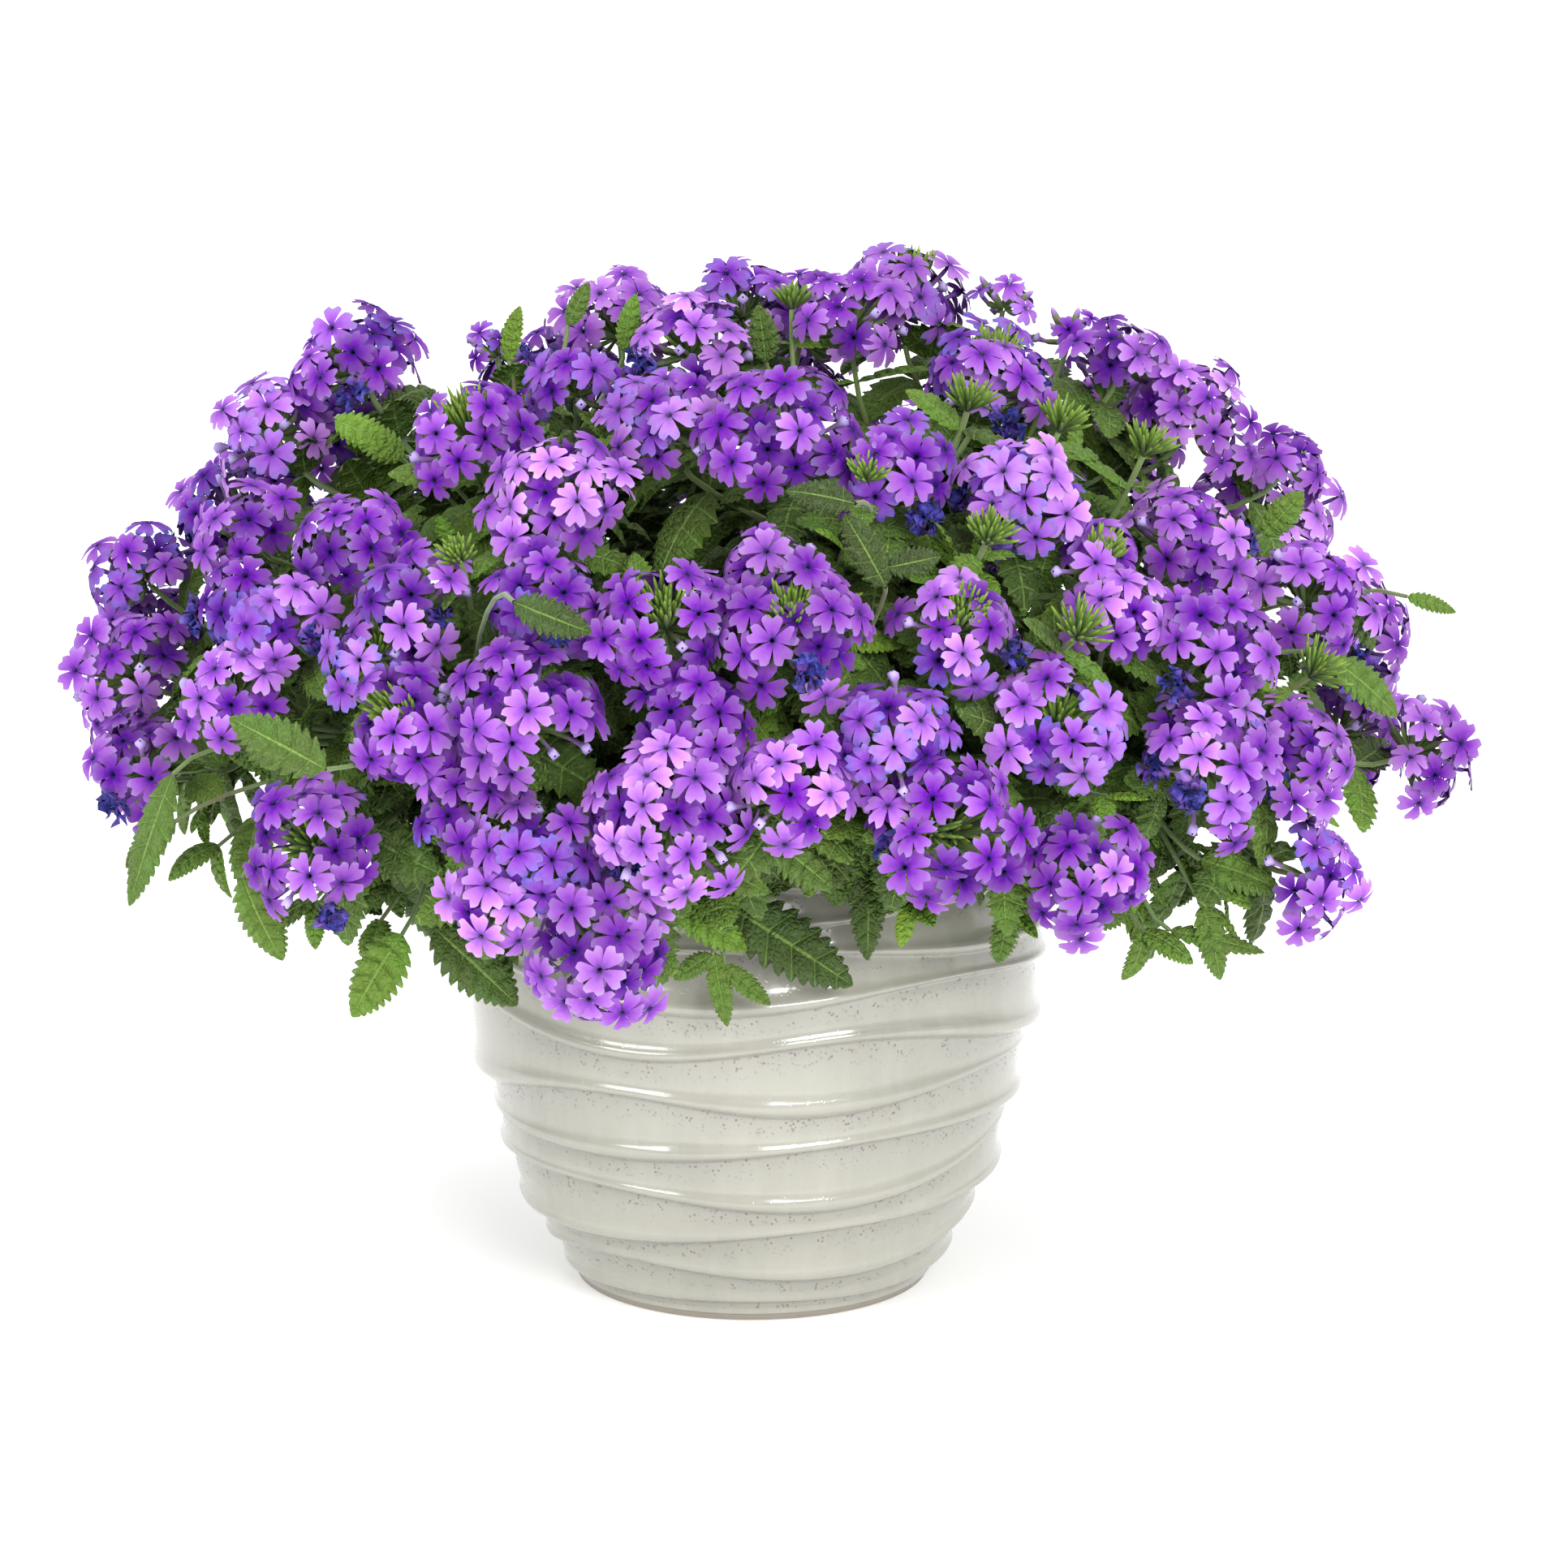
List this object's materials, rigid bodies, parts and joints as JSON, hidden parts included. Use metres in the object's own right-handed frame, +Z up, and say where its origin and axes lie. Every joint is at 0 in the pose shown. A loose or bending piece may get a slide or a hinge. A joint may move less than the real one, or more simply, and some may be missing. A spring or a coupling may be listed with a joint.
{
  "type": "potted verbena plant",
  "caption": "Mounded bedding verbena with domed heads of violet florets and toothed leaves, in a round off-white glazed pot with wavy draped bands.",
  "frame": {"origin": "centre of the flat underside of the pot", "axes": "+Z up along the pot's axis, -Y towards the side of the plant seen from the front, +X to its right"},
  "size_m": [0.5589, 0.4875, 0.4103],
  "materials": {
    "glazed_pot": "glossy off-white glaze with faint speckles",
    "potting_soil": "dark crumbly peat mix",
    "leaf_and_stem": "matt leaf with sunk veins",
    "petals": "soft satin petals"
  },
  "bodies": {
    "root": {"pot": "glazed_pot", "potting_soil": "potting_soil", "leafy_stem_01": "leaf_and_stem", "leafy_stem_02": "leaf_and_stem", "leafy_stem_03": "leaf_and_stem", "leafy_stem_04": "leaf_and_stem", "leafy_stem_05": "leaf_and_stem", "leafy_stem_06": "leaf_and_stem", "leafy_stem_07": "leaf_and_stem", "leafy_stem_08": "leaf_and_stem", "leafy_stem_09": "leaf_and_stem", "leafy_stem_10": "leaf_and_stem", "leafy_stem_11": "leaf_and_stem", "blooms_01": "petals", "blooms_02": "petals", "blooms_03": "petals", "blooms_04": "petals", "blooms_05": "petals", "blooms_06": "petals", "blooms_07": "petals", "blooms_08": "petals", "blooms_09": "petals", "blooms_10": "petals", "blooms_11": "petals", "blooms_12": "petals", "blooms_13": "petals", "blooms_14": "petals", "blooms_15": "petals", "blooms_16": "petals", "blooms_17": "petals", "blooms_18": "petals", "blooms_19": "petals", "blooms_20": "petals", "blooms_21": "petals", "blooms_22": "petals", "blooms_23": "petals", "blooms_24": "petals", "blooms_25": "petals", "blooms_26": "petals", "blooms_27": "petals", "blooms_28": "petals", "blooms_29": "petals", "blooms_30": "petals", "blooms_31": "petals", "blooms_32": "petals", "blooms_33": "petals", "blooms_34": "petals", "blooms_35": "petals", "blooms_36": "petals", "blooms_37": "petals", "blooms_38": "petals", "blooms_39": "petals", "blooms_40": "petals", "blooms_41": "petals", "blooms_42": "petals"}
  },
  "joints": []
}
